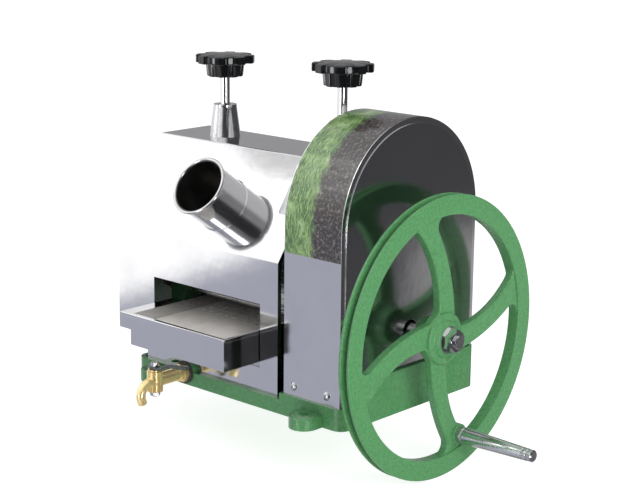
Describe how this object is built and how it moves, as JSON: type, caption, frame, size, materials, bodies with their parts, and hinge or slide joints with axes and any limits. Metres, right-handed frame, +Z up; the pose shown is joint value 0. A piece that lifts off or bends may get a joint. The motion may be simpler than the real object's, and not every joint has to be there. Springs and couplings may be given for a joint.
{
  "type": "manual sugarcane juicer",
  "caption": "Hand-cranked sugarcane juicer: fluted rollers on a cast base press cane fed by a sloped tube, screws set the pressure, juice runs through a strainer tray to a tap",
  "frame": {"origin": "centre of the cast base's underside, midway between its four bolt holes", "axes": "+X along the rollers towards the handwheel, -Y the feeding side with tube, tray and tap, +Z up"},
  "size_m": [0.641, 0.4408, 0.563],
  "materials": {
    "green_paint": "glossy orange-peel enamel over cast iron",
    "cover_steel": "bright polished stainless sheet",
    "pan_steel": "plain stainless sheet",
    "strainer_steel": "dull perforated stainless sheet",
    "roller_steel": "turned, fluted steel",
    "shaft_steel": "ground steel",
    "gear_iron": "machined cast iron, greased",
    "bronze": "machined bearing bronze",
    "fixing_steel": "zinc-plated steel",
    "screw_chrome": "polished bright bar",
    "knob_black": "moulded black phenolic",
    "handle_chrome": "polished chrome",
    "tap_brass": "polished brass",
    "lever_grey": "dark grey enamel",
    "seal_rubber": "moulded rubber"
  },
  "bodies": {
    "machine": {"base_casting": "green_paint", "left_cheek": "green_paint", "right_cheek": "green_paint", "left_cap": "green_paint", "right_cap": "green_paint", "outer_pedestal": "green_paint", "foot_bolts": "fixing_steel", "cap_bolts": "fixing_steel", "tie_bars": "shaft_steel", "tie_nuts": "fixing_steel", "lower_roller_bushes": "bronze", "drive_shaft_bushes": "bronze", "trash_plate": "shaft_steel", "screw_sleeves": "screw_chrome", "main_cover": "cover_steel", "bagasse_chute": "cover_steel", "gear_cover_band": "cover_steel", "gear_cover_face": "cover_steel", "gear_cover_back": "cover_steel", "cover_screws": "fixing_steel", "feed_tube": "cover_steel", "juice_pan": "pan_steel", "tap_body": "tap_brass", "tap_washer": "seal_rubber", "tap_locknut": "tap_brass"},
    "drive": {"drive_shaft": "shaft_steel", "drive_pinion": "gear_iron", "drive_shaft_keys": "shaft_steel", "handwheel": "green_paint", "wheel_nut": "screw_chrome", "handle_spindle": "handle_chrome", "spindle_nuts": "handle_chrome"},
    "grip": {"handle_grip": "handle_chrome"},
    "top_blocks": {"left_bearing_block": "gear_iron", "right_bearing_block": "gear_iron", "top_roller_bushes": "bronze"},
    "top_roll": {"top_roller": "roller_steel", "top_roller_shaft": "shaft_steel", "top_roller_gear": "gear_iron", "bull_gear": "gear_iron", "top_shaft_nuts": "fixing_steel", "top_shaft_keys": "shaft_steel"},
    "front_roll": {"front_roller": "roller_steel", "front_roller_shaft": "shaft_steel", "front_roller_gear": "gear_iron", "front_gear_fixings": "fixing_steel"},
    "rear_roll": {"rear_roller": "roller_steel", "rear_roller_shaft": "shaft_steel", "rear_roller_gear": "gear_iron", "rear_gear_fixings": "fixing_steel"},
    "left_screw": {"left_pressure_screw": "screw_chrome", "left_star_knob": "knob_black"},
    "right_screw": {"right_pressure_screw": "screw_chrome", "right_star_knob": "knob_black"},
    "tray": {"strainer_tray": "cover_steel", "strainer_plate": "strainer_steel"},
    "tap_handle": {"tap_plug": "tap_brass", "tap_lever": "lever_grey", "tap_nuts": "fixing_steel"}
  },
  "joints": [
    {"name": "handwheel_turn", "type": "hinge", "parent": "machine", "child": "drive", "pos_m": [0, 0, 0.113], "axis": [1, 0, 0], "continuous": true},
    {"name": "grip_spin", "type": "hinge", "parent": "drive", "child": "grip", "pos_m": [0.32, 0.03978, -0.03546], "axis": [1, 0, 0], "continuous": true},
    {"name": "roller_lift", "type": "slide", "parent": "machine", "child": "top_blocks", "axis": [0, 0, 1], "range_m": [0, 0.002]},
    {"name": "top_roller_turn", "type": "hinge", "parent": "top_blocks", "child": "top_roll", "pos_m": [0, 0, 0.233], "axis": [1, 0, 0], "continuous": true},
    {"name": "front_roller_turn", "type": "hinge", "parent": "machine", "child": "front_roll", "pos_m": [0, -0.05237, 0.15736], "axis": [1, 0, 0], "continuous": true},
    {"name": "rear_roller_turn", "type": "hinge", "parent": "machine", "child": "rear_roll", "pos_m": [0, 0.05237, 0.15736], "axis": [1, 0, 0], "continuous": true},
    {"name": "left_screw_turn", "type": "hinge", "parent": "top_blocks", "child": "left_screw", "pos_m": [-0.166, 0, 0.4], "axis": [0, 0, 1], "range_deg": [0, 360]},
    {"name": "right_screw_turn", "type": "hinge", "parent": "top_blocks", "child": "right_screw", "pos_m": [0.069, 0, 0.4], "axis": [0, 0, 1], "range_deg": [0, 360]},
    {"name": "tray_slide", "type": "slide", "parent": "machine", "child": "tray", "axis": [0, -1, 0], "range_m": [0, 0.2]},
    {"name": "tap_turn", "type": "hinge", "parent": "machine", "child": "tap_handle", "pos_m": [-0.1, -0.207, 0.019], "axis": [0, 0, 1], "range_deg": [-90, 0]}
  ],
  "couplings": [
    {"joint": "top_roller_turn", "follows": "handwheel_turn", "ratio": -0.25},
    {"joint": "front_roller_turn", "follows": "handwheel_turn", "ratio": 0.25},
    {"joint": "rear_roller_turn", "follows": "handwheel_turn", "ratio": 0.25},
    {"joint": "left_screw_turn", "follows": "roller_lift", "rad_per_m": 3141.6},
    {"joint": "right_screw_turn", "follows": "roller_lift", "rad_per_m": 3141.6}
  ]
}
